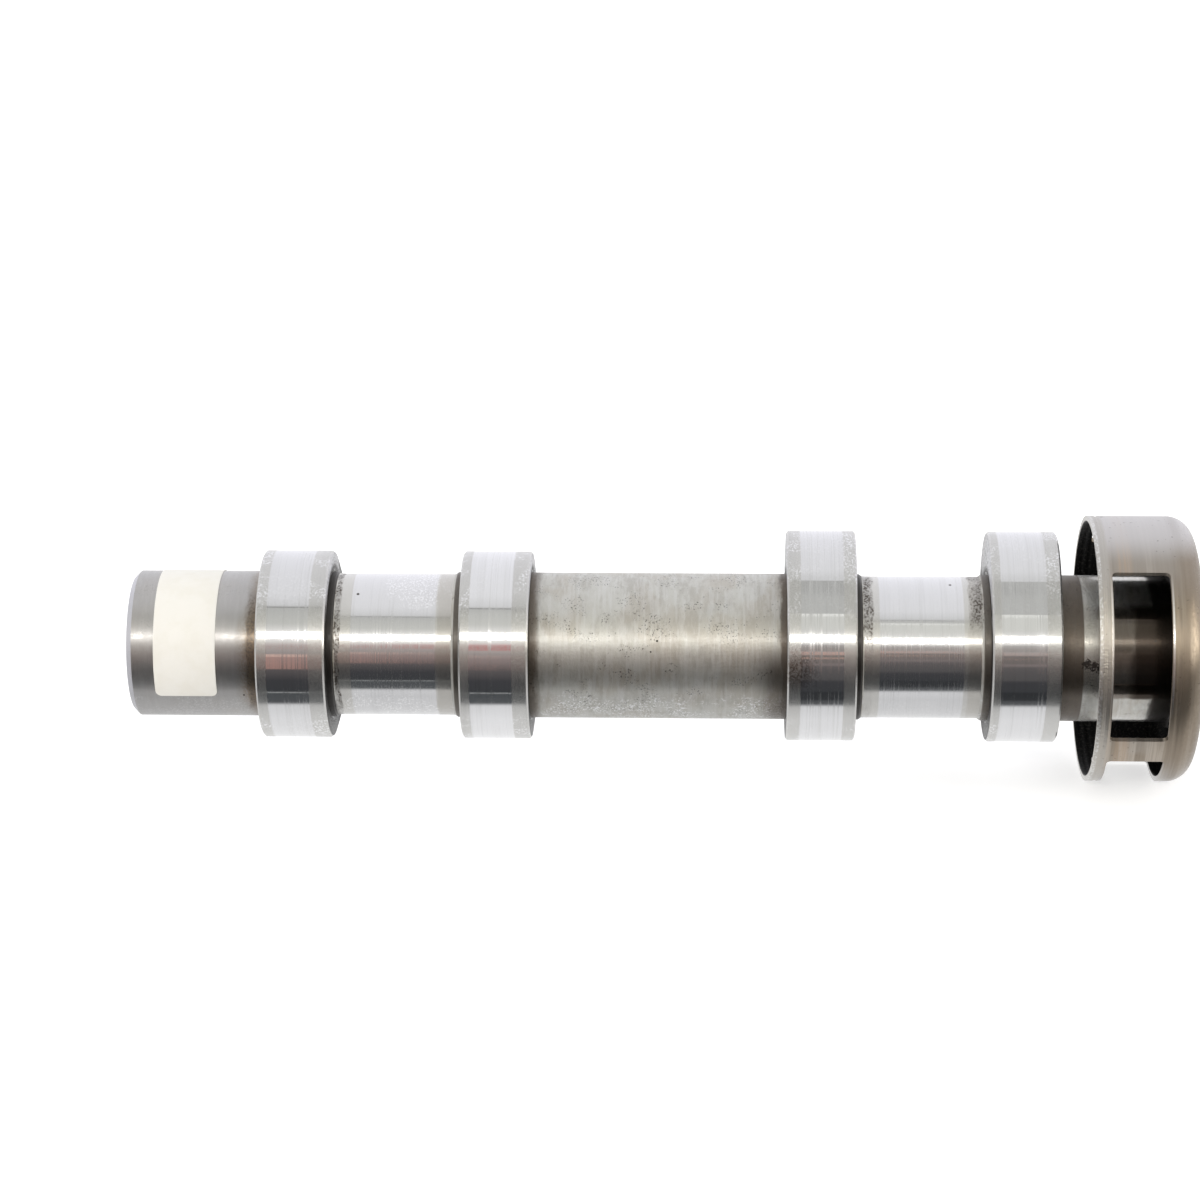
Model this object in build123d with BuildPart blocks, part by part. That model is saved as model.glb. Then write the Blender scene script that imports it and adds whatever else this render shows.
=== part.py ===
from build123d import *
import os
from math import atan2, cos, degrees, radians, sin

# Camshaft built up on a steel tube, in millimetres.
# The shaft lies along X, from its plain end at the origin to its drive end.
# It lies on a level surface on its sender cup's wall and its first lobe.

# How far the shaft is turned about its own axis as it lies, in degrees
rest_roll = 17.0

# Tube
tube_diameter = 25.0
tube_wall = 3.0
end_chamfer = 0.95
bore_chamfer = 0.5
drive_stub_length = 8.0

# Bearing journals, ground into the tube
journal_diameter = 24.3
journal_length = 19.8
journal_run_out = 0.5
first_journal_centre = 45.3
journal_spacing = 89.5

# Cam lobes, one each side of each journal
lobe_width = 11.7
lobe_before_journal = 17.0
lobe_after_journal = 17.25
base_circle_diameter = 32.2
lobe_lift = 3.8
half_opening_angle = 70.0
flank_radius = 200.0
lobe_edge_chamfer = 0.3
lobe_bore_chamfer = 0.45
phase_between_pairs = 90.0

# Sender cup, stamped from sheet steel
gap_before_cup = 5.3
cup_depth = 17.65
cup_diameter = 45.4
sheet_thickness = 1.0
shoulder_radius = 4.1
collar_length = 4.0
collar_bend_radius = 1.6
rim_outer_radius = 0.6
rim_inner_radius = 0.15
rim_groove_from_mouth = 1.5
rim_groove_radius = 0.8
rim_groove_depth = 0.1

# Windows punched in the cup's wall: start and span in degrees, from the second pair's noses
window_from_mouth = 2.3
window_width = 9.65
window_corner_radius = 0.8
window_edge_chamfer = 0.12
windows = {"front": (56.4, 76.6), "lower": (146.5, 63.5), "rear": (-32.0, 18.0)}

# Plugs pressed into the bore
plug_length = 5.0
plug_sheet = 1.0
plug_bend_radius = 1.8
plug_set_back = 1.2

# Blank label round the plain end, its first edge measured from the second pair's noses
label_from_end = 4.75
label_width = 10.5
label_length = 32.0
label_thickness = 0.12
label_corner_radius = 1.1
label_start = -10.7

# Worked out from the sizes above
tube_radius = tube_diameter / 2
bore_radius = tube_radius - tube_wall
journal_radius = journal_diameter / 2
base_radius = base_circle_diameter / 2
cup_radius = cup_diameter / 2
journal_centres = [first_journal_centre, first_journal_centre + journal_spacing]
first_nose_angle = -rest_roll
second_nose_angle = first_nose_angle + phase_between_pairs
cup_mouth = journal_centres[1] + lobe_after_journal + lobe_width / 2 + gap_before_cup
cup_end = cup_mouth + cup_depth
shaft_length = cup_end + drive_stub_length


def square_to_shaft(x, angle):
    """A plane square to the shaft at x, with its first direction at this angle from +Y."""
    first = (0, cos(radians(angle)), sin(radians(angle)))
    return Plane(origin=(x, 0, 0), x_dir=first, z_dir=(1, 0, 0))


def along_shaft(angle):
    """A plane through the shaft's axis: first direction +X, second outward at this angle."""
    outward = Vector(0, cos(radians(angle)), sin(radians(angle)))
    return Plane(origin=(0, 0, 0), x_dir=(1, 0, 0), z_dir=Vector(1, 0, 0).cross(outward))


def curved_patch(low_x, high_x, inner, outer, start, span, corner_radius):
    """A piece of a round wall, with rounded corners: a label, or a window's punch."""
    with BuildPart() as patch:
        with BuildSketch(along_shaft(start)):
            with Locations(((low_x + high_x) / 2, (inner + outer) / 2)):
                Rectangle(high_x - low_x, outer - inner)
        revolve(axis=Axis.X, revolution_arc=span)
        corners = patch.edges().filter_by(GeomType.LINE).filter_by(Axis.X, reverse=True)
        fillet(corners, radius=corner_radius)
    return patch.part


def lobe_outline():
    """Closed outline of a lobe, its nose on the first direction: base circle, flanks and nose."""
    flank_offset = flank_radius - base_radius
    opening = radians(half_opening_angle)
    nose_offset = (
        lobe_lift * (2 * flank_offset - lobe_lift)
        / (2 * (flank_offset * (1 - cos(opening)) - lobe_lift))
    )
    nose_radius = base_radius + lobe_lift - nose_offset
    flank_x = -flank_offset * cos(opening)
    flank_y = flank_offset * sin(opening)
    nose_half_angle = degrees(atan2(flank_y, nose_offset - flank_x))
    flank_span = half_opening_angle - nose_half_angle
    CenterArc((nose_offset, 0), nose_radius, -nose_half_angle, 2 * nose_half_angle)
    CenterArc((flank_x, -flank_y), flank_radius, nose_half_angle, flank_span)
    CenterArc((0, 0), base_radius, half_opening_angle, 360 - 2 * half_opening_angle)
    CenterArc((flank_x, flank_y), flank_radius, -half_opening_angle, flank_span)


def cam_lobe(centre, nose_angle):
    """A ground lobe ring, pressed on the tube."""
    with BuildPart() as lobe:
        with BuildSketch(square_to_shaft(centre - lobe_width / 2, nose_angle)):
            with BuildLine():
                lobe_outline()
            make_face()
            Circle(tube_radius, mode=Mode.SUBTRACT)
        extrude(amount=lobe_width)
        rim = [e for f in lobe.faces().filter_by(Axis.X) for e in f.outer_wire().edges()]
        chamfer(rim, length=lobe_edge_chamfer)
        mouth = [e for f in lobe.faces().filter_by(Axis.X) for w in f.inner_wires() for e in w.edges()]
        chamfer(mouth, length=lobe_bore_chamfer)
    return lobe.part


def bore_plug(mouth, direction):
    """A drawn sheet plug, open outwards, with its closed end inside the bore."""
    closed_end = mouth + direction * plug_length
    inside = Side.RIGHT if direction > 0 else Side.LEFT
    with BuildPart() as plug:
        with BuildSketch():
            with BuildLine():
                FilletPolyline(
                    (mouth, bore_radius), (closed_end, bore_radius), (closed_end, 0),
                    radius=plug_bend_radius,
                )
                offset(amount=plug_sheet, side=inside)
            make_face()
        revolve(axis=Axis.X)
    return plug.part


os.makedirs("parts", exist_ok=True)

# Tube, turned with its two journals
with BuildPart() as shaft_tube:
    with BuildSketch():
        outline = [(end_chamfer, tube_radius)]
        for centre in journal_centres:
            first, last = centre - journal_length / 2, centre + journal_length / 2
            outline += [
                (first - journal_run_out, tube_radius), (first, journal_radius),
                (last, journal_radius), (last + journal_run_out, tube_radius),
            ]
        outline += [
            (shaft_length - end_chamfer, tube_radius), (shaft_length, tube_radius - end_chamfer),
            (shaft_length, bore_radius), (0, bore_radius), (0, tube_radius - end_chamfer),
        ]
        with BuildLine():
            Polyline(outline, close=True)
        make_face()
    revolve(axis=Axis.X)
    bore_mouths = [
        shaft_tube.edges().filter_by(GeomType.CIRCLE).filter_by_position(Axis.X, x, x).sort_by(SortBy.RADIUS)[0]
        for x in (0, shaft_length)
    ]
    chamfer(bore_mouths, length=bore_chamfer)
shaft_tube.part.label = "shaft_tube"
export_step(shaft_tube.part, "parts/shaft_tube.step")

# Four lobes, in two pairs
lobe_places = []
for journal, nose_angle in zip(journal_centres, (first_nose_angle, second_nose_angle)):
    lobe_places.append((journal - lobe_before_journal, nose_angle))
    lobe_places.append((journal + lobe_after_journal, nose_angle))
for number, (centre, nose_angle) in enumerate(lobe_places, 1):
    lobe_ring = cam_lobe(centre, nose_angle)
    lobe_ring.label = f"cam_lobe_{number}"
    export_step(lobe_ring, f"parts/cam_lobe_{number}.step")

# Sender cup: the sheet runs from the mouth round the shoulder and back along the tube
window_punches = [
    curved_patch(
        cup_mouth + window_from_mouth, cup_mouth + window_from_mouth + window_width,
        cup_radius - 2 * sheet_thickness, cup_radius + sheet_thickness,
        second_nose_angle + start, span, window_corner_radius,
    )
    for start, span in windows.values()
]
with BuildPart() as sender_cup:
    with BuildSketch() as section:
        with BuildLine():
            FilletPolyline(
                (cup_mouth, cup_radius), (cup_end, cup_radius),
                (cup_end, tube_radius), (cup_end - collar_length, tube_radius),
                radius=[shoulder_radius, collar_bend_radius],
            )
            offset(amount=sheet_thickness, side=Side.RIGHT)
        make_face()
        inner_corner, outer_corner = section.vertices().group_by(Axis.X)[0].sort_by(Axis.Y)
        fillet(inner_corner, radius=rim_inner_radius)
        fillet(outer_corner, radius=rim_outer_radius)
        groove_centre = cup_radius + rim_groove_radius - rim_groove_depth
        with Locations((cup_mouth + rim_groove_from_mouth, groove_centre)):
            Circle(rim_groove_radius, mode=Mode.SUBTRACT)
    revolve(axis=Axis.X)
    for punch in window_punches:
        add(punch, mode=Mode.SUBTRACT)
    outer_wall = sender_cup.faces().filter_by(GeomType.CYLINDER).sort_by(SortBy.AREA)[-1]
    window_edges = [e for w in outer_wall.inner_wires() for e in w.edges()]
    chamfer(window_edges, length=window_edge_chamfer)
sender_cup.part.label = "sender_cup"
export_step(sender_cup.part, "parts/sender_cup.step")

# Plugs that close the tube
plain_end_plug = bore_plug(plug_set_back, 1)
plain_end_plug.label = "plain_end_plug"
export_step(plain_end_plug, "parts/plain_end_plug.step")
drive_end_plug = bore_plug(shaft_length - plug_set_back, -1)
drive_end_plug.label = "drive_end_plug"
export_step(drive_end_plug, "parts/drive_end_plug.step")

# Label, stuck on the tube between its plain end and the first lobe
label = curved_patch(
    label_from_end, label_from_end + label_width, tube_radius, tube_radius + label_thickness,
    second_nose_angle + label_start, degrees(label_length / tube_radius), label_corner_radius,
)
label.label = "label"
export_step(label, "parts/label.step")
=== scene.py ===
from math import cos, pi, radians, sin

import bmesh
import bpy
from mathutils import Matrix, Vector

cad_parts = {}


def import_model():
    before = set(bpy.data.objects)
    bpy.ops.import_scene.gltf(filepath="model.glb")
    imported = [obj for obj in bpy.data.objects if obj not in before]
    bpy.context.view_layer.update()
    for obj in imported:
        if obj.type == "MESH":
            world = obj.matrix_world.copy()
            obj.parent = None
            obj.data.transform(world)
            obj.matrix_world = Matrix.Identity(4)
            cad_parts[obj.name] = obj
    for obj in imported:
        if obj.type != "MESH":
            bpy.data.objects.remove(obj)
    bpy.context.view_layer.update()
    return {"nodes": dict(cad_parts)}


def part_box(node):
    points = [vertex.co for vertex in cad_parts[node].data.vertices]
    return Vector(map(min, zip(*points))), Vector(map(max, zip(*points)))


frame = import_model()
scene = bpy.context.scene
nodes = frame["nodes"]

MM = 0.001


def ends(node):
    """Where a piece starts and ends along the shaft, in millimetres from the plain end."""
    low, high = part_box(node)
    return low.x / MM, high.x / MM


LOBES = [ends(f"cam_lobe_{number}") for number in (1, 2, 3, 4)]
CUP_MOUTH, CUP_END = ends("sender_cup")
CUP_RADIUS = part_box("sender_cup")[1].y / MM
TUBE_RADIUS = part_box("shaft_tube")[1].y / MM


def before(number, distance):
    """The place this far before a lobe, along the shaft."""
    return LOBES[number - 1][0] - distance


def after(number, distance):
    """The place this far after a lobe, along the shaft."""
    return LOBES[number - 1][1] + distance


# Places along the tube: each journal, its bearing's polished band, and the duller steel at its far end
JOURNALS = ((after(1, 1.35), before(2, 1.6)), (after(3, 1.35), before(4, 1.6)))
BEARINGS = ((after(1, 4.15), before(2, 4.3)), (after(3, 4.05), before(4, 4.6)))
DULL_ENDS = ((before(2, 3.7), before(2, 1.5)), (before(4, 3.4), before(4, 1.5)))
END_CHAMFER = 0.95

# The cup's windows, its faint press rings, and where the tube's cleaner stretch towards it starts
WINDOW = (CUP_MOUTH + 2.3, CUP_MOUTH + 11.95)
PRESS_RINGS = (CUP_MOUTH + 1.1, CUP_MOUTH + 2.3, CUP_MOUTH + 13.0)
CLEAN_FROM = (CUP_MOUTH - 1.6, CUP_MOUTH - 1.3)

# How many features of each noise there are in a millimetre, along the shaft and across it:
# dust is finer than a pixel and mixes smooth with rough steel, hairs are scratches round the shaft
DUST = (31.0, 29.0, 29.0)
HAIRS = (6.0, 0.04, 0.04)
GRIT = (3.0, 2.4, 2.4)

# The follower's track on each lobe and its more scratched part, in millimetres from the lobe's first
# face, and how bright its polish is
TRACKS = ((2.0, 8.85), (1.85, 8.85), (2.35, 9.35), (1.55, 9.0))
CROWDED = ((6.6, 8.5), (5.2, 6.2), (3.0, 9.0), (7.4, 8.4))
SHINES = (0.97, 1.03, 0.98, 0.99)

# The one lobe with a brown smudge, and the smudge's place
SMUDGED_LOBE, SMUDGE = 3, (113.5, -16.0, 0.4)

# Small dark pits in the tube: the place and the reach of each
PITS = (
    ((39.11, -5.86, 10.64), 0.30), ((139.67, -2.59, 11.87), 0.30), ((19.79, -11.04, -5.86), 0.22),
    ((90.06, -11.71, 4.39), 0.24), ((89.0, -12.2, 2.6), 0.18), ((173.58, -11.52, 4.86), 0.26),
)

# The ragged dark blotch on the tube beside the cup's rim, the rubbed patch on the first journal,
# and on the cup a pit outside and a scraped spot inside
BLOTCH = ((162.2, -12.45, 1.0), (163.2, -12.5, 0.6), (164.4, -12.5, 0.3))
RUBBED = (48.8, -3.6, 11.4)
CUP_PIT = (165.4, 2.75, 22.5)
SCRAPED = (173.6, 7.0, -20.5)

# Heights of the bump patterns, in metres
STEEL_BUMP = 0.00005
PLUG_BUMP = 0.00004
PAPER_BUMP = 0.00006


class Nodes:
    """Short ways to make and join the nodes of one tree."""

    def __init__(self, tree):
        self.tree = tree
        tree.nodes.clear()

    def node(self, kind, **settings):
        made = self.tree.nodes.new(kind)
        for name, value in settings.items():
            setattr(made, name, value)
        return made

    def join(self, value, socket):
        """Links an output to a socket, or sets a plain value on it."""
        if hasattr(value, "is_linked"):
            self.tree.links.new(value, socket)
        else:
            socket.default_value = value

    def maths(self, operation, *values):
        made = self.node("ShaderNodeMath", operation=operation)
        for value, socket in zip(values, made.inputs):
            self.join(value, socket)
        return made.outputs[0]

    def plus(self, a, b):
        return self.maths("ADD", a, b)

    def minus(self, a, b):
        return self.maths("SUBTRACT", a, b)

    def times(self, a, b):
        return self.maths("MULTIPLY", a, b)

    def without(self, mask):
        return self.minus(1.0, mask)

    def mixed(self, amount, plain, changed, blend="MIX"):
        """A colour that goes from plain to changed as amount goes from 0 to 1."""
        made = self.node("ShaderNodeMix", data_type="RGBA", blend_type=blend)
        self.join(amount, made.inputs["Factor"])
        for value, socket in ((plain, made.inputs[6]), (changed, made.inputs[7])):
            self.join(value if hasattr(value, "is_linked") else (*value, 1.0), socket)
        return made.outputs[2]

    def laid(self, under, colour, mask, strength=1.0):
        """A colour laid over what is under it, where the mask is."""
        return self.mixed(mask if strength == 1.0 else self.times(mask, strength), under, colour)

    def level(self, amount, plain, changed):
        """A number that goes from plain to changed as amount goes from 0 to 1."""
        made = self.node("ShaderNodeMix", data_type="FLOAT")
        for value, socket in ((amount, made.inputs[0]), (plain, made.inputs[2]), (changed, made.inputs[3])):
            self.join(value, socket)
        return made.outputs[0]

    def between(self, value, low, high, start=0.0, end=1.0):
        """Goes smoothly from start to end while value goes from low to high."""
        made = self.node("ShaderNodeMapRange", interpolation_type="SMOOTHSTEP")
        for number, socket in zip((value, low, high, start, end), made.inputs[:5]):
            self.join(number, socket)
        return made.outputs[0]

    def falling(self, value, low, high):
        """1 below low, falling to 0 at high."""
        return self.between(value, low, high, 1.0, 0.0)

    def band(self, value, low, high, soft):
        """1 between low and high, falling to 0 within soft outside them."""
        return self.times(self.between(value, low - soft, low), self.falling(value, high, high + soft))

    def ragged(self, value, noise, amount):
        """The value, moved up or down by up to half the amount."""
        return self.plus(value, self.times(self.minus(noise, 0.5), amount))

    def any_of(self, *masks):
        total = masks[0]
        for mask in masks[1:]:
            total = self.maths("MAXIMUM", total, mask)
        return total

    def all_of(self, *masks):
        total = masks[0]
        for mask in masks[1:]:
            total = self.times(total, mask)
        return total


class Finish(Nodes):
    """One material, on coordinates in millimetres from the middle of the plain end."""

    def __init__(self, name, metallic=1.0, anisotropy=0.0, coat=0.0):
        self.material = bpy.data.materials.new(name)
        self.material.use_nodes = True
        super().__init__(self.material.node_tree)
        surface = self.node("ShaderNodeOutputMaterial")
        self.shader = self.node("ShaderNodeBsdfPrincipled")
        self.join(self.shader.outputs["BSDF"], surface.inputs["Surface"])
        self.shader.inputs["Metallic"].default_value = metallic
        self.shader.inputs["Coat Weight"].default_value = coat
        if anisotropy:
            self.shader.inputs["Anisotropic"].default_value = anisotropy
            self.shader.inputs["Anisotropic Rotation"].default_value = 0.25
            round_shaft = self.node("ShaderNodeTangent", direction_type="RADIAL", axis="X")
            self.join(round_shaft.outputs[0], self.shader.inputs["Tangent"])
        coordinates = self.node("ShaderNodeTexCoord")
        self.faces_x, self.faces_y, self.faces_z = self.split(coordinates.outputs["Normal"])
        self.place = self.moved(coordinates.outputs["Object"], (1 / MM, 1 / MM, 1 / MM))
        self.x, self.y, self.z = self.split(self.place)
        squares = self.plus(self.times(self.y, self.y), self.times(self.z, self.z))
        self.from_axis = self.maths("SQRT", squares)

    def split(self, vector):
        made = self.node("ShaderNodeSeparateXYZ")
        self.join(vector, made.inputs[0])
        return made.outputs

    def moved(self, vector, scale, shift=(0, 0, 0)):
        mapping = self.node("ShaderNodeMapping")
        for value, name in ((scale, "Scale"), (shift, "Location"), (vector, "Vector")):
            self.join(value, mapping.inputs[name])
        return mapping.outputs[0]

    def noise(self, stretch, detail=2.0, rough=0.5, shift=(0, 0, 0)):
        """Noise from 0 to 1; stretch is how many features there are in a millimetre each way."""
        made = self.node("ShaderNodeTexNoise")
        place = self.moved(self.place, stretch, shift)
        for value, name in ((1.0, "Scale"), (detail, "Detail"), (rough, "Roughness"), (place, "Vector")):
            self.join(value, made.inputs[name])
        return made.outputs["Fac"]

    def near(self, point, reach, noise=None, amount=0.0):
        """1 near a point and 0 past its reach, in millimetres, with a ragged edge if asked."""
        made = self.node("ShaderNodeVectorMath", operation="DISTANCE")
        self.join(self.place, made.inputs[0])
        self.join(point, made.inputs[1])
        far = made.outputs["Value"]
        if noise is not None:
            far = self.ragged(far, noise, amount)
        return self.falling(far, reach * 0.6, reach)

    def dusted(self, threshold, smooth, rough):
        """Roughness of steel whose finest grains are partly smooth and partly rough."""
        return self.between(self.dust, threshold, threshold + 0.04, smooth, rough)

    def bumped(self, height, distance):
        made = self.node("ShaderNodeBump")
        for value, name in ((1.0, "Strength"), (distance, "Distance"), (height, "Height")):
            self.join(value, made.inputs[name])
        self.join(made.outputs[0], self.shader.inputs["Normal"])

    def colour(self, value):
        self.join(value, self.shader.inputs["Base Color"])

    def roughness(self, value):
        self.join(value, self.shader.inputs["Roughness"])


def lobe_rim(f, shine):
    """Colour round the lobe: ground steel, the follower's track, fine rings, and frost beside the track."""
    ground, polished = (0.61, 0.605, 0.585), [part * shine for part in (0.74, 0.74, 0.745)]
    steel = f.mixed(f.polished, ground, polished)
    steel = f.laid(steel, (0.56, 0.555, 0.54), f.between(f.broad, 0.42, 0.7, 0.0, 0.15))
    steel = f.laid(steel, (0.60, 0.60, 0.58), f.scratches, 0.22)
    steel = f.laid(steel, (0.50, 0.50, 0.51), f.between(f.fine, 0.30, 0.44, 0.22, 0.0))
    beside = f.without(f.times(f.polished, 0.75))
    upright = f.between(f.maths("ABSOLUTE", f.z), 7.0, 11.0)
    frost = f.all_of(f.between(f.cloud, 0.44, 0.56), f.between(f.grit, 0.50, 0.58), beside, upright)
    return f.laid(steel, (0.90, 0.90, 0.91), frost, 0.7)


def lobe_face(f):
    """Colour of the lobe's flat faces: pitted and bright at the top, with painted shade making them dark
    lower down and darker still, speckled, around the middle.
    """
    bright, pitted = (0.66, 0.66, 0.67), (0.12, 0.12, 0.12)
    steel = f.mixed(f.between(f.grit, 0.54, 0.62), bright, pitted)
    height = f.ragged(f.z, f.cloud, 16.0)
    # Painted shade: the face goes dark below a ragged height
    steel = f.laid(steel, (0.07, 0.068, 0.066), f.between(height, 4.0, 13.0, 0.92, 0.0))
    # Painted shade, darker still and speckled, across the middle and lower part of the face
    painted_shade_band = f.all_of(f.band(height, -8.0, 6.0, 5.0), f.between(f.grit, 0.42, 0.62, 0.9, 0.35))
    return f.laid(steel, (0.03, 0.027, 0.025), painted_shade_band)


def ground_lobe_steel(number):
    """Ground steel with the follower's polished track round the lobe, scratched where it is crowded."""
    f = Finish(f"ground_lobe_steel_{number}", anisotropy=0.8)
    seed = 17.0 * number
    f.dust = f.noise(DUST, 0.0, 0.5, (seed, 0, 0))
    f.fine = f.noise((3.2, 0.03, 0.03), 3.0, 0.75, (seed, 0, 0))
    f.broad = f.noise((0.7, 0.03, 0.03), 1.0, 0.5, (seed + 5, 0, 0))
    f.cloud = f.noise((0.22, 0.22, 0.22), 3.0, 0.6, (seed, 3, 0))
    f.grit = f.noise(GRIT, 4.0, 0.65, (seed, 0, 7))
    hairs = f.noise(HAIRS, 2.0, 0.6, (seed + 9, 0, 0))

    across = f.minus(f.x, before(number, 0.0))
    f.polished = f.band(f.ragged(across, f.grit, 0.4), *TRACKS[number - 1], 0.2)
    crowded = f.band(across, *CROWDED[number - 1], 0.4)
    f.scratches = f.all_of(
        f.between(hairs, 0.50, 0.62), f.any_of(crowded, f.between(f.broad, 0.45, 0.60, 0.15, 0.6)),
    )
    face = f.between(f.maths("ABSOLUTE", f.faces_x), 0.8, 0.95)
    steel = f.mixed(face, lobe_rim(f, SHINES[number - 1]), lobe_face(f))
    # Grime and painted shade on the faces close to the tube, near black with a ragged edge
    dirt_and_shade_near_tube = f.falling(f.plus(f.from_axis, f.times(f.grit, 1.6)), 14.0, 15.2)
    steel = f.laid(steel, (0.02, 0.018, 0.016), dirt_and_shade_near_tube)
    if number == SMUDGED_LOBE:
        smudge = f.all_of(f.near(SMUDGE, 3.6, f.grit, 9.0), f.between(f.grit, 0.44, 0.58, 0.35, 1.0))
        steel = f.laid(steel, (0.12, 0.082, 0.055), smudge, 0.8)
    f.colour(steel)

    rough = f.level(f.polished, f.dusted(0.48, 0.14, 0.46), 0.085)
    rough = f.plus(rough, f.times(f.scratches, 0.17))
    f.roughness(f.plus(rough, f.times(face, 0.25)))
    f.bumped(f.plus(f.times(f.fine, 0.10), f.times(f.all_of(face, f.grit), 2.4)), STEEL_BUMP)
    return f.material


def drawn_steel(f):
    """Colour of the tube as drawn: mottled and streaked, plainer where the plain end is turned."""
    drawn, turned = (0.675, 0.67, 0.625), (0.50, 0.49, 0.48)
    steel = f.mixed(f.turned, drawn, turned)
    for colour, noise, low, high, share in (
        ((0.47, 0.45, 0.405), f.cloud, 0.44, 0.62, 0.45),
        ((0.52, 0.465, 0.385), f.patches, 0.44, 0.60, 0.34),
        ((0.78, 0.78, 0.76), f.streaks, 0.48, 0.60, 0.34),
        ((0.76, 0.75, 0.72), f.ripple, 0.50, 0.62, 0.34),
    ):
        steel = f.laid(steel, colour, f.all_of(f.drawn, f.between(noise, low, high, 0.0, share)))
    steel = f.laid(steel, (0.42, 0.41, 0.385), f.between(f.fine, 0.30, 0.44, 0.10, 0.0))
    chamfer = f.falling(f.x, END_CHAMFER - 0.05, END_CHAMFER + 0.05)
    steel = f.laid(steel, (0.66, 0.66, 0.70), chamfer, 0.8)
    return f.laid(steel, (0.98, 0.98, 0.98), f.all_of(f.frost, f.drawn))


def ground_journals(f):
    """Colour of the ground journals, with the bearing's polished band, hairlines, frost and duller ends."""
    ground, polished = (0.66, 0.65, 0.62), (0.735, 0.735, 0.74)
    steel = f.mixed(f.bearing, ground, polished)
    steel = f.laid(steel, (0.50, 0.50, 0.50), f.between(f.fine, 0.28, 0.42, 0.14, 0.0))
    steel = f.laid(steel, (0.60, 0.60, 0.58), f.scratches, 0.25)
    steel = f.laid(steel, (0.62, 0.62, 0.63), f.between(f.broad, 0.45, 0.7, 0.0, 0.16))
    less_on_second = f.between(f.x, after(2, -2.0), after(2, -1.0), 1.0, 0.25)
    steel = f.laid(steel, (0.97, 0.97, 0.97), f.all_of(f.frost, less_on_second), 0.7)
    rubbed = f.all_of(f.flecks, f.near(RUBBED, 6.5, f.cloud, 16.0))
    steel = f.laid(steel, (0.95, 0.95, 0.96), rubbed, 0.6)
    dull = f.any_of(*[f.band(f.edge, *places, 0.5) for places in DULL_ENDS])
    return f.laid(steel, (0.52, 0.495, 0.45), dull, 0.55)


def journal_lips(f):
    """Where old oil is baked on the journals' ends."""
    return f.all_of(f.between(f.cloud, 0.38, 0.58, 0.35, 1.0), f.any_of(
        f.band(f.edge, after(1, 1.35), after(1, 1.95), 0.3),
        f.all_of(f.band(f.edge, after(3, 1.35), after(3, 2.55), 0.4), f.between(f.z, 1.0, 8.0, 0.2, 1.0)),
        f.all_of(f.band(f.edge, before(4, 3.2), before(4, 1.6), 0.6), f.between(f.z, 5.0, 9.0)),
    ))


def stain_masks(f):
    """Varnish before the first lobe, brown stains beside the lobes, and burnt steel in the cup."""
    bowed = f.minus(f.edge, f.between(f.y, -11.5, -7.5, 0.0, 1.6))
    varnish = f.all_of(
        f.between(bowed, before(1, 4.25), before(1, 0.85)), f.turned,
        f.between(f.grit, 0.40, 0.56, 0.45, 1.0),
    )
    after_2 = f.between(f.x, after(2, -1.0), after(2, 0.0))
    before_3 = f.falling(f.x, before(3, 0.0), before(3, -1.0))
    after_4 = f.between(f.x, after(4, -1.0), after(4, 0.0))
    cleaner_below = f.between(f.ragged(f.z, f.cloud, 1.0), -5.8, -5.2)
    in_front = f.all_of(
        f.falling(f.z, 9.2, 10.4), cleaner_below, f.falling(f.edge, CUP_END - 1.35, CUP_END + 1.15),
    )
    # Before lobe 1, after lobe 2, before lobe 3 and farther from it lower down, after lobe 4 as far as
    # the cleaner stretch, and just inside the cup
    brown = f.any_of(
        f.all_of(f.band(f.edge, before(1, 1.55), before(1, -0.05), 0.7), f.band(f.z, -7.0, 9.0, 3.0),
                 f.between(f.grit, 0.38, 0.60, 1.0, 0.35)),
        f.all_of(f.falling(f.edge, after(2, 0.5), after(2, 2.2)), after_2),
        f.all_of(f.between(f.edge, before(3, 1.75), before(3, 0.65)), before_3),
        f.all_of(f.between(f.edge, before(3, 6.45), before(3, 1.35), 0.0, 0.85), before_3,
                 f.falling(f.z, -1.0, 5.0)),
        f.all_of(f.falling(f.x, *CLEAN_FROM), after_4),
        f.all_of(f.between(f.edge, CUP_MOUTH - 0.2, CUP_MOUTH + 2.2, 0.0, 0.85), in_front),
    )
    # Deep in the cup in front, all round at its web, and a fainter patch nearer its mouth
    burnt = f.any_of(
        f.all_of(f.between(f.edge, CUP_MOUTH + 5.6, CUP_MOUTH + 7.6), in_front),
        f.band(f.edge, CUP_MOUTH + 10.4, CUP_END + 0.65, 1.0),
        f.all_of(f.between(f.edge, CUP_MOUTH + 1.6, CUP_MOUTH + 4.3, 0.0, 0.62),
                 f.band(f.z, 3.4, 8.6, 1.2), in_front),
    )
    return varnish, brown, burnt


def stained(f, steel):
    """The tube's colour under its stains, with painted shade on its underside and grime with painted shade
    in the journals' necks.
    """
    varnish, brown, burnt = stain_masks(f)
    steel = f.laid(steel, (0.275, 0.19, 0.10), varnish, 0.78)
    steel = f.laid(steel, (0.14, 0.105, 0.075), brown, 0.82)
    steel = f.laid(steel, (0.04, 0.028, 0.02), burnt, 0.9)
    # Painted shade: darker towards the underside
    steel = f.laid(steel, (0.03, 0.03, 0.03), f.between(f.z, -6.5, -4.0, 0.22, 0.0))
    # Grime and painted shade in the narrow necks between the journals and the lobes
    dark_necks = f.any_of(*[f.band(f.x, after(n, -0.1), after(n, 1.05), 0.10) for n in (1, 3)])
    brown_necks = f.any_of(*[f.band(f.x, before(n, 1.1), before(n, -0.1), 0.10) for n in (2, 4)])
    steel = f.laid(steel, (0.04, 0.036, 0.034), dark_necks, 0.92)
    return f.laid(steel, (0.15, 0.13, 0.11), brown_necks, 0.85)


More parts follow.
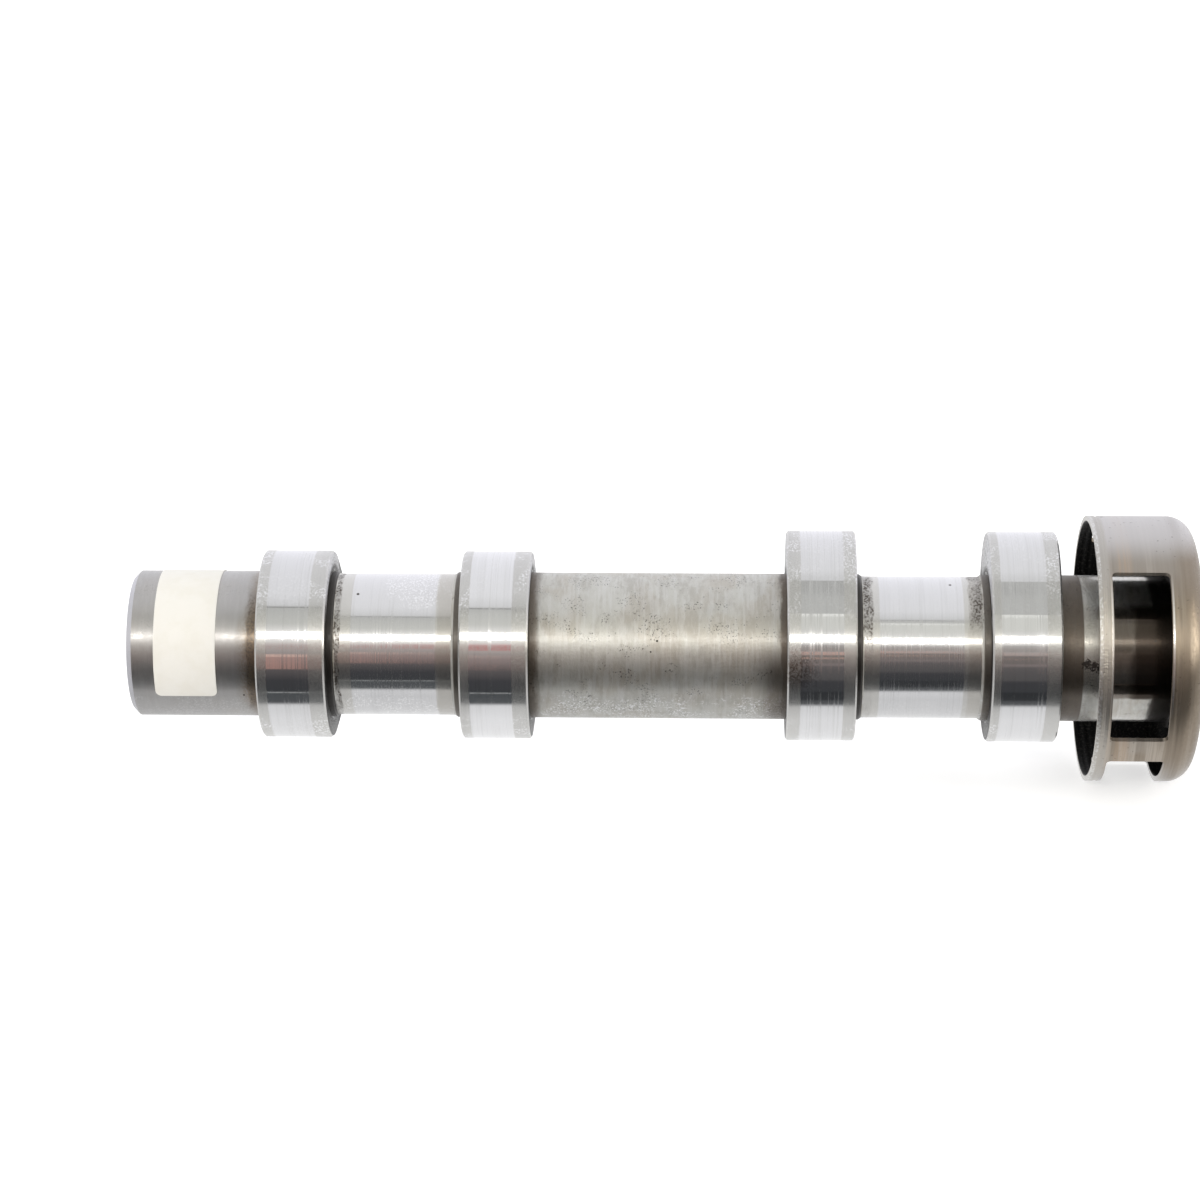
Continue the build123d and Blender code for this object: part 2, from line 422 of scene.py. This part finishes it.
def dark_marks(f):
    """Groups of specks on the unground steel, single pits, and the blotch beside the cup."""
    specks = f.all_of(
        f.between(f.specks, 0.56, 0.66), f.between(f.groups, 0.52, 0.60), f.without(f.journal), f.drawn,
    )
    return f.any_of(
        f.times(specks, 0.72),
        *[f.near(point, reach) for point, reach in PITS],
        *[f.times(f.near(point, 0.9, f.grit, 4.5), 0.9) for point in BLOTCH],
    )


def tube_roughness(f):
    """Dull where drawn, smoother at the plain end and near the cup, glossy in it, polished on journals."""
    drawn, turned = f.dusted(0.42, 0.42, 0.66), f.dusted(0.42, 0.32, 0.54)
    rough = f.ragged(f.level(f.turned, drawn, turned), f.ripple, 0.24)
    rough = f.level(f.clean, rough, f.dusted(0.44, 0.24, 0.52))
    in_cup = f.between(f.x, CUP_MOUTH + 1.4, CUP_MOUTH + 2.6)
    rough = f.level(in_cup, rough, f.dusted(0.50, 0.13, 0.42))
    ground = f.level(f.bearing, f.dusted(0.48, 0.14, 0.44), f.dusted(0.60, 0.09, 0.25))
    ground = f.plus(ground, f.between(f.fine, 0.55, 0.72, 0.0, 0.05))
    ground = f.plus(ground, f.times(f.scratches, 0.13))
    return f.plus(f.level(f.journal, rough, ground), f.times(f.lips, 0.2))


def tube_steel():
    """Drawn tube: turned at the plain end, ground on the journals, dull between, stained by the lobes."""
    f = Finish("tube_steel", anisotropy=0.72, coat=0.12)
    f.dust = f.noise(DUST, 0.0, 0.5, (3, 0, 0))
    f.fine = f.noise((2.4, 0.035, 0.035), 2.0, 0.7)
    f.broad = f.noise((0.5, 0.05, 0.05), 1.0, 0.5, (9, 0, 0))
    f.cloud = f.noise((0.34, 0.16, 0.16), 4.0, 0.7, (4, 2, 0))
    f.patches = f.noise((0.15, 0.15, 0.15), 2.0, 0.5, (40, 2, 0))
    f.ripple = f.noise((1.0, 0.32, 0.32), 4.0, 0.65, (0, 5, 3))
    f.grit = f.noise(GRIT, 3.0, 0.65, (0, 0, 3))
    f.specks = f.noise((3.6, 3.0, 3.0), 3.0, 0.6, (31, 0, 0))
    f.groups = f.noise((0.20, 0.26, 0.26), 3.0, 0.6, (12, 6, 0))
    f.streaks = f.noise((1.5, 0.15, 0.15), 3.0, 0.6, (0, 9, 4))
    hairs = f.noise(HAIRS, 2.0, 0.6, (23, 0, 0))

    # Where each finish lies; edge is the place along the tube, moved a little so that borders are ragged
    f.edge = f.ragged(f.x, f.ripple, 1.6)
    f.turned = f.falling(f.x, before(1, 0.45), before(1, -1.55))
    f.drawn = f.without(f.times(f.turned, 0.8))
    f.clean = f.between(f.x, *CLEAN_FROM)
    f.journal = f.any_of(*[f.band(f.x, *places, 0.15) for places in JOURNALS])
    f.bearing = f.any_of(*[f.band(f.x, *places, 0.25) for places in BEARINGS])
    f.flecks = f.between(f.grit, 0.53, 0.58)
    underside = f.falling(f.ragged(f.z, f.cloud, 9.0), -7.4, -5.0)
    up_to_lobe_4 = f.falling(f.x, after(4, -2.0), after(4, -1.0))
    f.frost = f.all_of(f.flecks, f.between(f.groups, 0.40, 0.54), underside, up_to_lobe_4)
    f.scratches = f.all_of(
        f.between(hairs, 0.52, 0.64), f.between(f.broad, 0.40, 0.55, 0.35, 1.0), f.bearing,
    )
    f.lips = journal_lips(f)

    steel = f.mixed(f.journal, drawn_steel(f), ground_journals(f))
    steel = f.laid(steel, (0.13, 0.112, 0.095), f.all_of(f.lips, f.between(f.grit, 0.45, 0.56, 0.25, 1.0)))
    f.colour(f.laid(stained(f, steel), (0.06, 0.052, 0.045), dark_marks(f)))
    f.roughness(tube_roughness(f))
    unground = f.all_of(f.without(f.journal), f.without(f.clean))
    f.bumped(f.plus(f.times(f.fine, 0.10), f.times(f.all_of(unground, f.grit, f.drawn), 0.5)), STEEL_BUMP)
    return f.material


def cup_outside(f):
    """Colour of the cup's outside: brown heat tint in rings, a painted lighter band high up, painted sheen
    that makes it greyer and paler above and below, worn rim, and edges worn bright with a painted highlight
    beside the front window.
    """
    light_ring, dark_ring = (0.465, 0.41, 0.345), (0.315, 0.266, 0.21)
    steel = f.mixed(f.between(f.broad, 0.42, 0.56), light_ring, dark_ring)
    steel = f.laid(steel, (0.24, 0.20, 0.16), f.between(f.fine, 0.45, 0.60, 0.0, 0.30))
    # Painted light: a lighter band high on the cup
    steel = f.mixed(f.band(f.z, 7.0, 13.0, 4.0), steel, (1.10, 1.09, 1.04), "MULTIPLY")
    steel = f.laid(steel, (0.47, 0.44, 0.40), f.between(f.cloud, 0.50, 0.72, 0.0, 0.35))
    # Painted sheen: greyer and paler towards the top and the bottom
    steel = f.laid(steel, (0.385, 0.36, 0.325), f.between(f.z, 12.0, 21.0, 0.0, 0.8))
    steel = f.laid(steel, (0.43, 0.415, 0.395), f.between(f.z, -21.0, -13.0, 0.8, 0.0))
    orange_ring = f.band(f.plus(f.x, f.times(f.cloud, 0.8)), CUP_MOUTH + 4.2, CUP_MOUTH + 5.4, 1.1)
    steel = f.laid(steel, (0.56, 0.42, 0.30), f.all_of(orange_ring, f.between(f.fine, 0.35, 0.6, 0.1, 0.4)))
    steel = f.laid(steel, (0.285, 0.236, 0.182), f.heat, 0.75)
    # Painted sheen: paler still at the very top and bottom
    steel = f.laid(steel, (0.62, 0.605, 0.60), f.between(f.maths("ABSOLUTE", f.z), 18.5, 22.0, 0.0, 0.8))
    steel = f.laid(steel, (0.50, 0.48, 0.44), f.rim, 0.7)
    specks = f.all_of(f.between(f.specks, 0.70, 0.75), f.between(f.cloud, 0.47, 0.55))
    steel = f.laid(steel, (0.05, 0.04, 0.035), f.any_of(f.times(specks, 0.4), f.near(CUP_PIT, 0.35)))
    lip = f.all_of(
        f.band(f.x, CUP_MOUTH + 0.05, CUP_MOUTH + 0.45, 0.25), f.between(f.grit, 0.46, 0.60, 0.2, 1.0),
        f.between(f.from_axis, CUP_RADIUS - 0.8, CUP_RADIUS - 0.6),
    )
    steel = f.laid(steel, (0.80, 0.80, 0.79), lip, 0.7)
    # Window chamfers worn bright, and a painted highlight on the wall beside the front window
    return f.laid(steel, (0.92, 0.90, 0.86), f.edges, 0.9)


def cup_inside(f):
    """Colour inside the cup: black as painted shade, a little mottled, with one scraped spot."""
    black, dark_grey = (0.016, 0.016, 0.015), (0.05, 0.047, 0.042)
    steel = f.mixed(f.between(f.grit, 0.50, 0.66), black, dark_grey)
    scraped = f.all_of(f.near(SCRAPED, 1.8, f.grit, 3.0), f.between(f.grit, 0.48, 0.56))
    return f.laid(steel, (0.42, 0.41, 0.40), scraped, 0.8)


def punched_edges(f):
    """Where the windows' edges are bright: their chamfers, worn bright, and a painted highlight on the wall
    beside the front window.
    """
    chamfers = f.all_of(
        f.band(f.outwards, 0.6, 0.8, 0.06), f.between(f.from_axis, CUP_RADIUS - 0.4, CUP_RADIUS - 0.3),
        f.band(f.x, WINDOW[0] - 0.2, WINDOW[1] + 0.25, 0.1),
    )
    # Painted highlight: thin strips beside the front window's sides, on its front and at middle height only
    sides = (WINDOW[0] - 0.3, WINDOW[1] + 0.1)
    beside = f.any_of(*[f.band(f.x, side, side + 0.2, 0.1) for side in sides])
    front = f.falling(f.y, -14.2, -13.2)
    return f.any_of(chamfers, f.all_of(beside, f.band(f.z, 1.0, 11.0, 7.0), front))


def cup_steel():
    """Drawn sheet steel: brown heat tint and press rings outside, black painted shade inside."""
    f = Finish("cup_steel", anisotropy=0.7)
    f.fine = f.noise((3.0, 0.06, 0.06), 3.0, 0.65, (2, 0, 0))
    f.broad = f.noise((0.55, 0.03, 0.03), 2.0, 0.5, (14, 0, 0))
    f.cloud = f.noise((0.12, 0.12, 0.12), 3.0, 0.6, (4, 8, 0))
    f.grit = f.noise((2.6, 2.2, 2.2), 3.0, 0.6)
    f.specks = f.noise((1.7, 1.7, 1.7), 1.0, 0.5, (3, 30, 0))

    # How far each face points away from the shaft, and where each finish lies
    away = f.plus(f.times(f.faces_y, f.y), f.times(f.faces_z, f.z))
    f.outwards = f.maths("DIVIDE", away, f.from_axis)
    f.heat = f.between(f.plus(f.x, f.times(f.cloud, 2.0)), CUP_END - 5.05, CUP_END - 2.05)
    f.rim = f.falling(f.x, CUP_MOUTH + 1.6, CUP_MOUTH + 2.1)
    f.edges = punched_edges(f)
    near_tube = (TUBE_RADIUS + 1.9, TUBE_RADIUS + 2.9)
    # Painted shade: black over the cup's inside, its inner wall and the inside of its web round the tube
    painted_shade_inside = f.any_of(
        f.all_of(f.falling(f.outwards, -0.3, -0.1), f.between(f.from_axis, *near_tube)),
        f.all_of(f.falling(f.faces_x, -0.8, -0.6), f.between(f.x, CUP_END - 4.85, CUP_END - 3.85)),
        f.all_of(f.between(f.outwards, 0.1, 0.3), f.falling(f.from_axis, *near_tube)),
    )
    f.colour(f.mixed(painted_shade_inside, cup_outside(f), cup_inside(f)))

    shoulder = f.all_of(
        f.between(f.x, CUP_END - 3.85, CUP_END - 2.65), f.between(f.grit, 0.40, 0.60, 1.0, 0.45),
    )
    rough = f.plus(f.ragged(0.44, f.fine, 0.16), f.times(f.heat, 0.07))
    rough = f.minus(rough, f.times(f.any_of(shoulder, f.edges), 0.22))
    f.roughness(f.plus(rough, f.times(painted_shade_inside, 0.18)))

    press_rings = f.any_of(*[f.band(f.x, ring, ring + 0.1, 0.45) for ring in PRESS_RINGS])
    height = f.plus(f.times(f.fine, 0.25), f.times(f.grit, 0.30))
    height = f.plus(height, f.times(f.broad, 1.2))
    height = f.plus(height, f.times(f.all_of(f.rim, f.grit), 1.6))
    f.bumped(f.minus(height, f.times(press_rings, 1.8)), STEEL_BUMP)
    return f.material


def plug_steel():
    """Dull pressed sheet, a little greasy."""
    f = Finish("plug_steel", anisotropy=0.3)
    cloud = f.noise((0.4, 0.4, 0.4), 3.0, 0.6)
    grit = f.noise((2.0, 2.0, 2.0), 3.0, 0.6)
    f.colour(f.mixed(f.between(cloud, 0.4, 0.7), (0.42, 0.41, 0.39), (0.26, 0.24, 0.22)))
    f.roughness(f.between(grit, 0.3, 0.7, 0.30, 0.48))
    f.bumped(grit, PLUG_BUMP)
    return f.material


def label_paper():
    """Blank cream paper, coated, with a faint tooth and a slight unevenness."""
    f = Finish("label_paper", metallic=0.0)
    tooth = f.noise((2.2, 2.2, 2.2), 4.0, 0.7)
    cloud = f.noise((0.2, 0.2, 0.2), 3.0, 0.6, (7, 0, 0))
    paper = f.mixed(f.between(cloud, 0.4, 0.7), (0.90, 0.885, 0.83), (0.87, 0.85, 0.78))
    f.colour(f.laid(paper, (0.82, 0.79, 0.71), f.between(tooth, 0.55, 0.8, 0.0, 0.25)))
    f.roughness(f.between(tooth, 0.3, 0.7, 0.46, 0.58))
    f.bumped(f.plus(f.times(tooth, 0.4), cloud), PAPER_BUMP)
    return f.material


def dress(name, material):
    """Gives a piece its material in place of the plain one that it came with."""
    slots = nodes[name].data.materials
    slots.clear()
    slots.append(material)


# The floor's white paint, and how much it glows to the camera alone
FLOOR_WHITE = 0.8
FLOOR_GLOW = 0.56


def studio_floor():
    """A white floor under the shaft; in its place the steel mirrors the studio's panels."""
    mesh = bmesh.new()
    bmesh.ops.create_grid(mesh, x_segments=1, y_segments=1, size=4.0)
    bmesh.ops.translate(mesh, vec=(0.1, 0.0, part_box("sender_cup")[0].z), verts=mesh.verts)
    data = bpy.data.meshes.new("studio_floor")
    mesh.to_mesh(data)
    mesh.free()
    floor = bpy.data.objects.new("studio_floor", data)
    scene.collection.objects.link(floor)
    floor.visible_glossy = False

    white = bpy.data.materials.new("studio_white")
    white.use_nodes = True
    n = Nodes(white.node_tree)
    paint = n.node("ShaderNodeBsdfDiffuse")
    paint.inputs["Color"].default_value = (FLOOR_WHITE, FLOOR_WHITE, FLOOR_WHITE, 1)
    glow = n.node("ShaderNodeEmission")
    seen = n.node("ShaderNodeLightPath")
    n.join(n.times(seen.outputs["Is Camera Ray"], FLOOR_GLOW), glow.inputs["Strength"])
    both = n.node("ShaderNodeAddShader")
    n.join(paint.outputs[0], both.inputs[0])
    n.join(glow.outputs[0], both.inputs[1])
    n.join(both.outputs[0], n.node("ShaderNodeOutputMaterial").inputs["Surface"])
    data.materials.append(white)


# What the steel mirrors, by the angle round the shaft above the level towards the camera: white
# panels below, above and behind, dark ones low in front, and pale ones round the strip lamp
PANELS = (
    (-180, (1.05, 1.05, 1.05)), (-85, (0.95, 0.95, 0.96)), (-62.5, (0.83, 0.83, 0.84)),
    (-58.5, (0.12, 0.125, 0.13)), (-46, (0.055, 0.058, 0.062)), (-28, (0.06, 0.06, 0.065)),
    (-13, (0.135, 0.12, 0.12)), (0, (0.32, 0.27, 0.26)), (14, (0.56, 0.51, 0.48)),
    (21, (1.0, 0.97, 0.93)), (31, (1.05, 1.03, 0.99)), (35, (0.87, 0.86, 0.82)),
    (41, (0.70, 0.70, 0.66)), (57, (0.61, 0.61, 0.585)), (62.2, (0.62, 0.62, 0.60)),
    (63.2, (0.79, 0.79, 0.79)), (78, (0.93, 0.93, 0.945)), (110, (0.97, 0.97, 1.0)),
    (165, (1.08, 1.08, 1.14)), (180, (1.08, 1.08, 1.14)),
)

# Cards in front of the panels, each with its low and high angle and their softness, its left and
# right end and their softness (-1 to 1 along the shaft), how much of it shows, and its colour
CARDS = (
    # Thin dark edge of the upper white panel
    ((60.6, 61.4, 0.5), (-0.5, 0.00, 0.01), 0.55, (0.10, 0.10, 0.10)),
    ((60.6, 61.4, 0.5), (0.048, 0.078, 0.004), 0.55, (0.10, 0.10, 0.10)),
    # Pale card on the right, with white strips
    ((38.0, 56.0, 1.5), (0.0, 0.50, 0.03), 0.9, (0.84, 0.84, 0.79)),
    ((53.4, 55.6, 0.3), (0.020, 0.045, 0.004), 0.95, (1.35, 1.35, 1.3)),
    ((56.0, 56.4, 0.1), (0.020, 0.045, 0.004), 0.95, (1.5, 1.5, 1.45)),
    ((53.4, 56.3, 0.25), (0.080, 0.105, 0.004), 0.95, (1.15, 1.15, 1.1)),
    # Darker cards on the right
    ((12.0, 19.0, 1.5), (0.0, 0.50, 0.03), 0.6, (0.36, 0.34, 0.32)),
    ((-3.0, 6.0, 1.5), (0.0, 0.50, 0.03), 0.8, (0.18, 0.16, 0.15)),
    ((-24.0, -8.0, 2.0), (0.0, 0.50, 0.03), 0.7, (0.12, 0.115, 0.115)),
    ((-52.0, -41.0, 1.0), (0.0, 0.50, 0.03), 0.8, (0.035, 0.037, 0.040)),
    # Dark grey card low on the left, with a pale edge
    ((-57.5, -44.8, 0.6), (-0.5, -0.04, 0.01), 0.8, (0.105, 0.112, 0.118)),
    ((-44.3, -43.4, 0.4), (-0.5, -0.04, 0.01), 0.9, (0.46, 0.47, 0.47)),
    # Salmon, red and orange cards, mirrored in the tracks of lobes 1, 2 and 3
    ((-13.3, 2.5, 0.6), (-0.19, -0.112, 0.004), 0.9, (0.57, 0.33, 0.28)),
    ((1.5, 4.0, 0.6), (-0.19, -0.112, 0.004), 0.85, (0.92, 0.62, 0.52)),
    ((10.0, 17.0, 0.6), (-0.076, -0.050, 0.004), 1.0, (0.62, 0.09, 0.08)),
    ((16.8, 18.0, 0.5), (-0.076, -0.050, 0.004), 0.8, (1.0, 0.58, 0.54)),
    ((11.0, 18.0, 0.8), (0.020, 0.045, 0.004), 0.6, (0.12, 0.11, 0.10)),
    ((6.8, 10.2, 0.5), (0.020, 0.045, 0.004), 0.95, (0.86, 0.46, 0.34)),
    ((2.0, 3.8, 0.4), (0.020, 0.045, 0.004), 0.95, (0.84, 0.52, 0.40)),
    # A dim card and a bright one past the shaft's right end, and a white one past its left end
    ((-60.0, 60.0, 30.0), (0.66, 2.0, 0.10), 0.9, (0.36, 0.34, 0.32)),
    ((15.0, 58.0, 38.0), (0.80, 2.0, 0.06), 0.95, (4.2, 4.0, 3.7)),
    ((-180.0, 180.0, 1.0), (-2.0, -0.80, 0.2), 0.9, (0.95, 0.95, 0.96)),
)

# The panels draw together by this much towards the right, about this angle, and only between these
# angles, on the side that faces the camera
FAN, FAN_ANGLE = 0.206, 27.0
FAN_LOW, FAN_HIGH, FAN_SOFT = -110.0, 95.0, 20.0

# The panels' and cards' colours are divided by this, and their light is multiplied by it
HEADROOM = 2.0


def studio_world():
    """Panels and cards for light and reflections, and plain white where the camera sees past the shaft."""
    world = bpy.data.worlds.new("studio")
    scene.world = world
    world.use_nodes = True
    n = Nodes(world.node_tree)
    toward = n.node("ShaderNodeSeparateXYZ")
    n.join(n.node("ShaderNodeTexCoord").outputs["Generated"], toward.inputs[0])
    sideways = toward.outputs["X"]
    angle = n.maths("ARCTAN2", toward.outputs["Z"], n.times(toward.outputs["Y"], -1.0))
    angle = n.times(angle, 180 / pi)
    fan = n.maths("MULTIPLY_ADD", sideways, FAN, 1.0)
    fanned = n.maths("MULTIPLY_ADD", n.minus(angle, FAN_ANGLE), fan, FAN_ANGLE)
    facing = n.band(angle, FAN_LOW, FAN_HIGH, FAN_SOFT)
    angle = n.plus(n.times(fanned, facing), n.times(angle, n.without(facing)))

    ramp = n.node("ShaderNodeValToRGB")
    n.join(n.maths("MULTIPLY_ADD", angle, 1 / 360, 0.5), ramp.inputs[0])
    stops = ramp.color_ramp.elements
    for place, colour in PANELS[2:]:
        stops.new(place / 360 + 0.5)
    for stop, (place, colour) in zip(stops, PANELS):
        stop.position = place / 360 + 0.5
        stop.color = (*[part / HEADROOM for part in colour], 1)
    shown = ramp.outputs["Color"]
    for heights, widths, amount, colour in CARDS:
        card = n.times(n.band(angle, *heights), n.band(sideways, *widths))
        shown = n.laid(shown, [part / HEADROOM for part in colour], n.times(card, amount))

    panels, white = n.node("ShaderNodeBackground"), n.node("ShaderNodeBackground")
    n.join(shown, panels.inputs["Color"])
    panels.inputs["Strength"].default_value = HEADROOM
    white.inputs["Color"].default_value = (1, 1, 1, 1)
    seen = n.node("ShaderNodeLightPath")
    choice = n.node("ShaderNodeMixShader")
    n.join(n.any_of(seen.outputs["Is Camera Ray"], seen.outputs["Is Transmission Ray"]), choice.inputs[0])
    n.join(panels.outputs[0], choice.inputs[1])
    n.join(white.outputs[0], choice.inputs[2])
    n.join(choice.outputs[0], n.node("ShaderNodeOutputWorld").inputs["Surface"])


def strip_lamp():
    """The soft strip that draws the bright line along the shaft."""
    lamp = bpy.data.lights.new("strip_lamp", "AREA")
    lamp.shape = "RECTANGLE"
    lamp.size, lamp.size_y = 0.86, 0.15
    lamp.energy = 2.9
    lamp.color = (1.0, 0.975, 0.93)
    strip = bpy.data.objects.new("strip_lamp", lamp)
    scene.collection.objects.link(strip)
    rise, distance, middle = radians(26.8), 1.2, Vector((-0.15, 0.0, 0.0))
    away = Vector((0.0, -cos(rise), sin(rise)))
    turn = away.to_track_quat("Z", "Y").to_matrix().to_4x4()
    strip.matrix_world = Matrix.Translation(middle + away * distance) @ turn


# The shaft lies as it comes to rest, so the camera looks down on it by the first of these angles, in
# degrees, and is turned by the others from there; its place is in metres and its lens in millimetres
LOOKING_DOWN = 17.0
YAW, PITCH, ROLL = 1.912, 0.780, 0.349
CAMERA_X, CAMERA_DISTANCE = 0.09909, 0.572
FOCAL_LENGTH = 99.684


def photo_camera():
    """The camera, where the photograph was taken from: square to the shaft but for two degrees."""
    tilt, yaw, pitch, roll = radians(LOOKING_DOWN), radians(YAW), radians(PITCH), radians(ROLL)
    along = Vector((1, 0, 0))
    towards = Vector((0, -cos(tilt), sin(tilt)))
    upwards = Vector((0, sin(tilt), cos(tilt)))
    view = -sin(yaw) * cos(pitch) * along - cos(yaw) * cos(pitch) * towards + sin(pitch) * upwards
    right = cos(yaw) * along - sin(yaw) * towards
    up = sin(pitch) * sin(yaw) * along + sin(pitch) * cos(yaw) * towards + cos(pitch) * upwards
    right, up = cos(roll) * right + sin(roll) * up, cos(roll) * up - sin(roll) * right
    lens = bpy.data.cameras.new("photo_camera")
    lens.lens = FOCAL_LENGTH
    lens.clip_start = 0.01
    camera = bpy.data.objects.new("photo_camera", lens)
    scene.collection.objects.link(camera)
    place = CAMERA_X * along + CAMERA_DISTANCE * towards
    camera.matrix_world = Matrix.Translation(place) @ Matrix((right, up, -view)).transposed().to_4x4()
    scene.camera = camera


for lobe_number in (1, 2, 3, 4):
    dress(f"cam_lobe_{lobe_number}", ground_lobe_steel(lobe_number))
dress("shaft_tube", tube_steel())
dress("sender_cup", cup_steel())
plug_finish = plug_steel()
dress("plain_end_plug", plug_finish)
dress("drive_end_plug", plug_finish)
dress("label", label_paper())

photo_camera()
studio_floor()
studio_world()
strip_lamp()
scene.view_settings.view_transform = "Standard"
